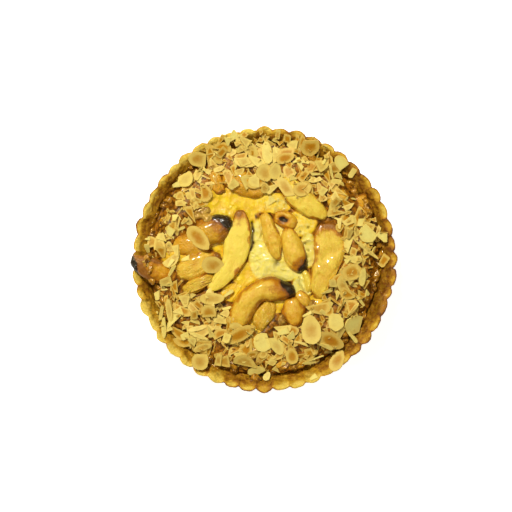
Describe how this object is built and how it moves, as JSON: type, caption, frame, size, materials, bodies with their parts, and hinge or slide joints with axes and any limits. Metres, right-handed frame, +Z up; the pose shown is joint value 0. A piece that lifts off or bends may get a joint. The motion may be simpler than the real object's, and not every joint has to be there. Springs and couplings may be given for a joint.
{
  "type": "apple tart",
  "caption": "Round open apple tart in a fluted shortcrust, filled with set custard, baked apple wedges and flaked almonds.",
  "frame": {"origin": "centre of the round underside, on the surface that the tart stands on", "axes": "+Z up through the middle of the tart; +X to the right and +Y away, as the tart is seen from above"},
  "size_m": [0.2, 0.2, 0.0358],
  "materials": {
    "crust": "baked shortcrust, browned at the rim, matt with a little gloss where syrup ran",
    "custard": "set egg custard, satin, glossy where it is glazed",
    "apple": "baked apple, glazed, browned at the edges and burnt at some tips",
    "almond": "flaked almond, ivory, toasted in the middle of some slices"
  },
  "bodies": {
    "root": {"crust": "crust", "custard": "custard", "apple_burnt": "apple", "apple_crescent": "apple", "apple_thin": "apple", "apple_middle": "apple", "apple_upper_right": "apple", "apple_hook": "apple", "apple_right": "apple", "apple_left_upper": "apple", "apple_left_lower": "apple", "apple_far_left": "apple", "apple_glossy": "apple", "apple_browned": "apple", "apple_small": "apple", "apple_sliver": "apple", "apple_upper_strip": "apple", "apple_upper_left": "apple", "apple_scorched": "apple", "apple_layered": "apple", "apple_covered": "apple", "apple_right_end": "apple", "apple_bottom_end": "apple"}
  },
  "joints": []
}
